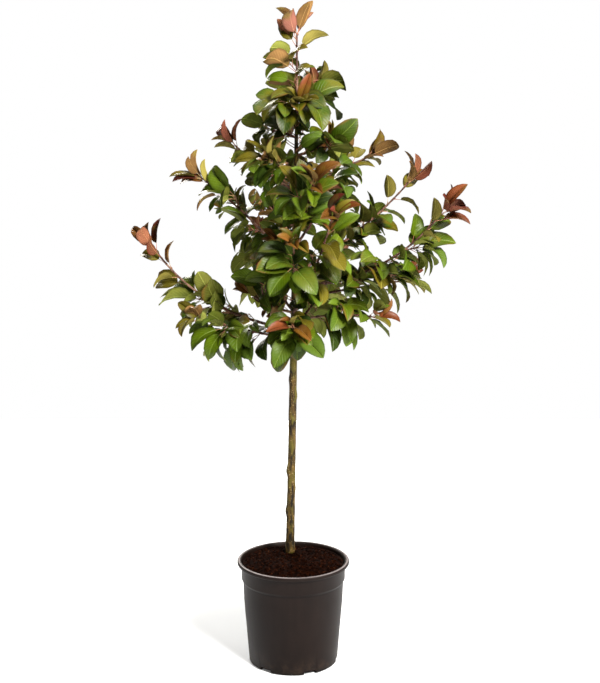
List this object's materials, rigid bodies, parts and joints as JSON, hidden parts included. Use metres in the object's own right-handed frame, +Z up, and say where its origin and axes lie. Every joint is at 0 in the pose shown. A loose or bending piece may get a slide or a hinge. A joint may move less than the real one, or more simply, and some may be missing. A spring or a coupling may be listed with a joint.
{
  "type": "potted dwarf apple tree",
  "caption": "Dwarf apple tree with a straight bare stem and an airy pointed head of green and copper leaves, in a round plastic nursery pot filled with dark soil.",
  "frame": {"origin": "centre of the pot's flat underside, where it stands on the ground", "axes": "+Z up along the stem, +X to the right and -Y towards the viewer as the tree is seen from its front"},
  "size_m": [0.7519, 0.623, 1.5322],
  "materials": {
    "pot": "satin dark taupe-brown plastic",
    "soil": "crumbly dark moist peat",
    "bark": "smooth olive-brown bark with lenticels",
    "shoot_bark": "smooth red-brown young bark",
    "foliage": "green leaves, copper-red at the shoot tips"
  },
  "bodies": {
    "root": {"pot": "pot", "soil": "soil", "trunk": "bark", "left_low_bough": "shoot_bark", "left_foot_bough": "shoot_bark", "left_middle_bough": "shoot_bark", "left_high_bough": "shoot_bark", "right_foot_bough": "shoot_bark", "right_low_bough": "shoot_bark", "right_middle_bough": "shoot_bark", "right_high_bough": "shoot_bark", "right_top_bough": "shoot_bark", "front_low_bough": "shoot_bark", "front_high_bough": "shoot_bark", "front_middle_bough": "shoot_bark", "front_foot_bough": "shoot_bark", "back_left_bough": "shoot_bark", "back_low_bough": "shoot_bark", "back_right_bough": "shoot_bark", "back_high_bough": "shoot_bark", "left_low_leaves": "foliage", "left_foot_leaves": "foliage", "left_middle_leaves": "foliage", "left_high_leaves": "foliage", "right_foot_leaves": "foliage", "right_low_leaves": "foliage", "right_middle_leaves": "foliage", "right_high_leaves": "foliage", "right_top_leaves": "foliage", "front_low_leaves": "foliage", "front_high_leaves": "foliage", "front_middle_leaves": "foliage", "front_foot_leaves": "foliage", "back_left_leaves": "foliage", "back_low_leaves": "foliage", "back_right_leaves": "foliage", "back_high_leaves": "foliage", "inner_leaves_01": "foliage", "inner_leaves_02": "foliage", "inner_leaves_03": "foliage", "inner_leaves_04": "foliage", "inner_leaves_05": "foliage", "inner_leaves_06": "foliage", "inner_leaves_07": "foliage", "inner_leaves_08": "foliage", "inner_leaves_09": "foliage", "inner_leaves_10": "foliage", "inner_leaves_11": "foliage", "inner_leaves_12": "foliage", "inner_leaves_13": "foliage", "leader_leaves": "foliage"}
  },
  "joints": []
}
